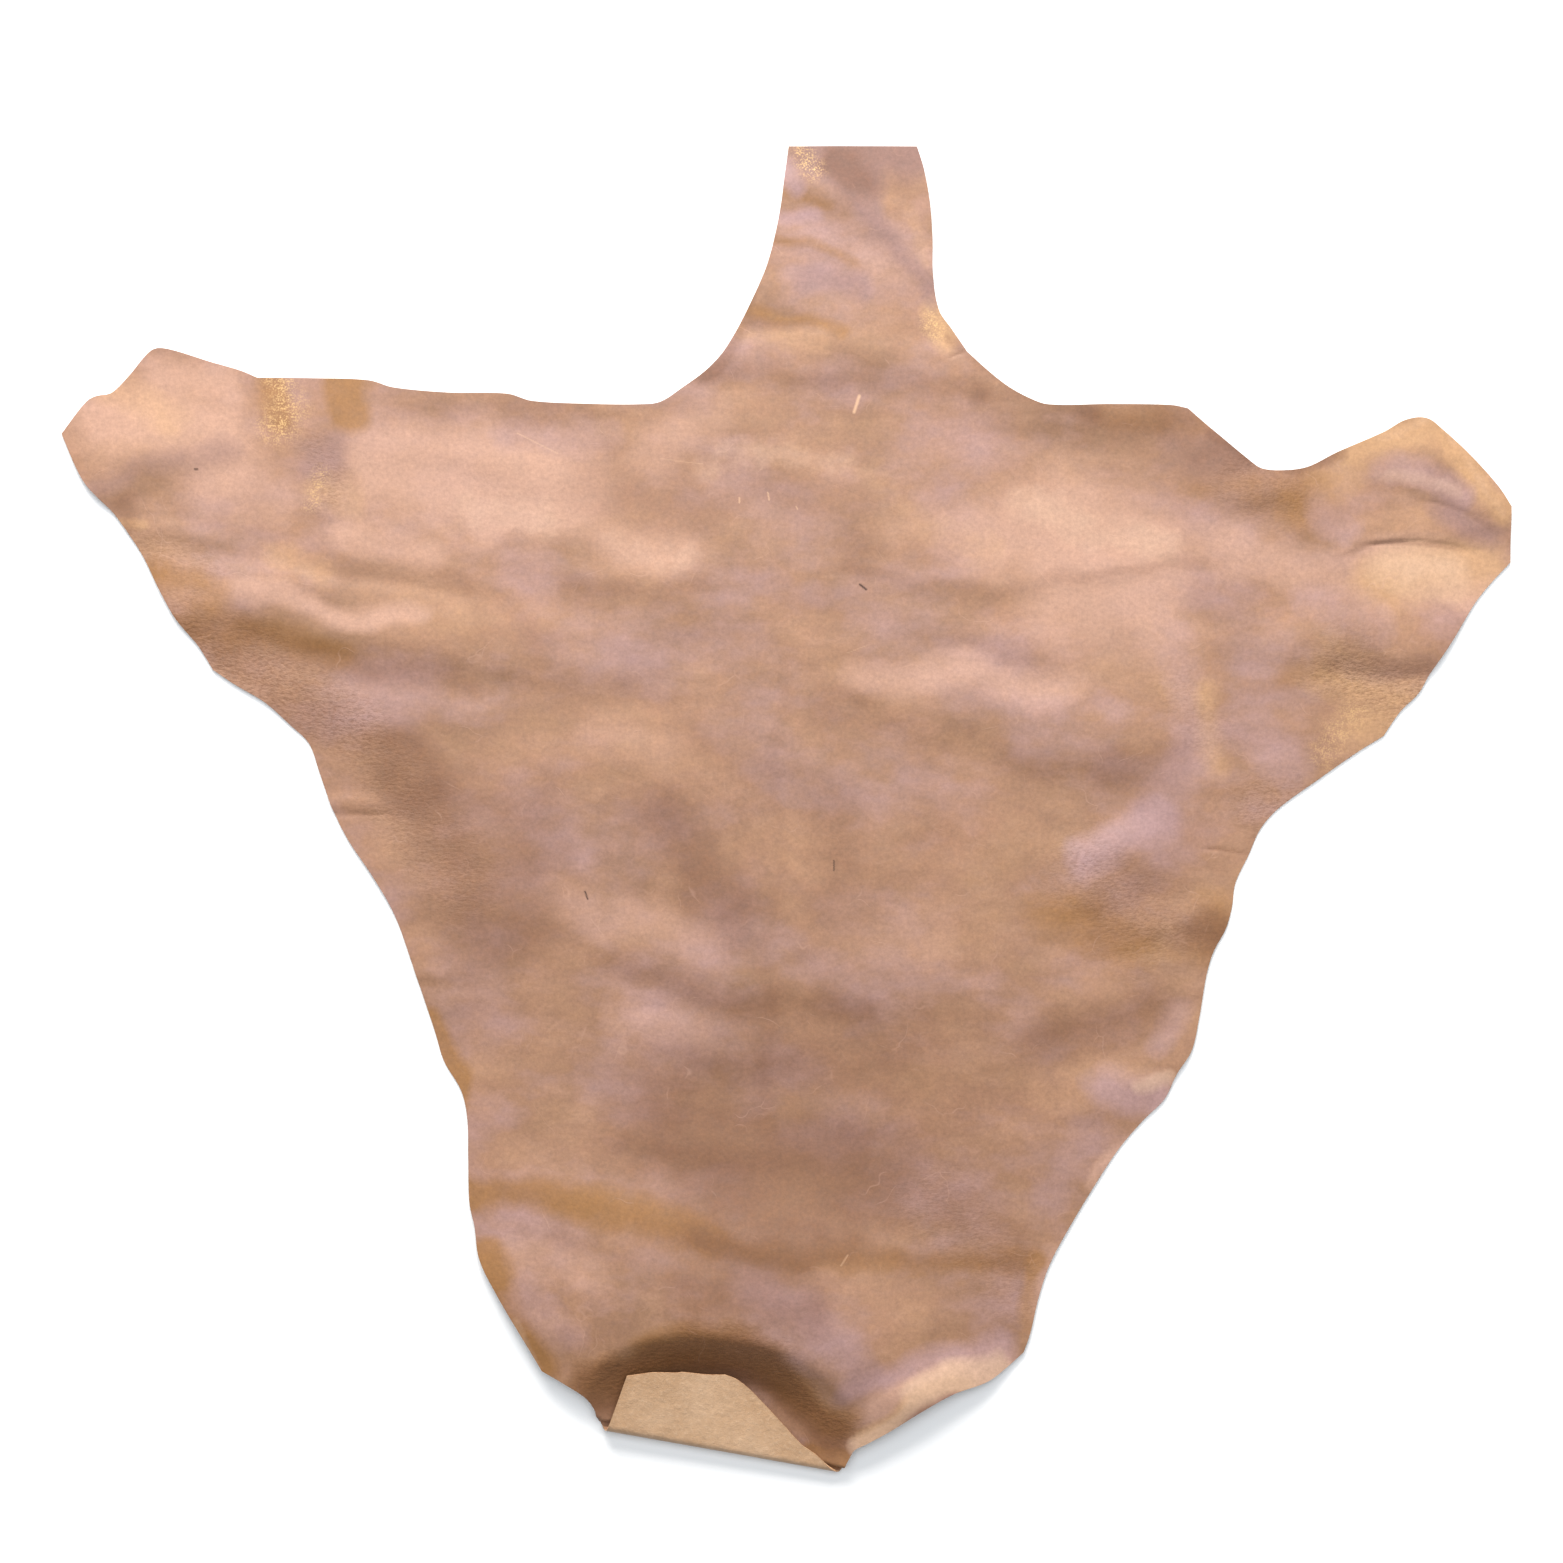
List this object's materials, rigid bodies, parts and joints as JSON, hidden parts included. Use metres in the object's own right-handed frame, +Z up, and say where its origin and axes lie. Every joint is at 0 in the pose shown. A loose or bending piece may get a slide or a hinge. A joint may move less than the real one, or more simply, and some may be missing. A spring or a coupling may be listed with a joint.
{
  "type": "leather hide",
  "caption": "Whole tanned leather hide with its neck strip and leg flaps, lying flat grain side up, its blunt end turned over to show the flesh side.",
  "frame": {"origin": "centre of the hide's bounding box, on the flat surface it lies on", "axes": "+X across the hide from the left leg flap to the right one, +Y from the turned-over blunt end to the neck strip, +Z up from the surface, grain side up"},
  "size_m": [1.1181, 1.0217, 0.0233],
  "materials": {
    "leather": "semi-gloss grain side with suede flesh side"
  },
  "bodies": {
    "root": {"leather_hide": "leather"}
  },
  "joints": []
}
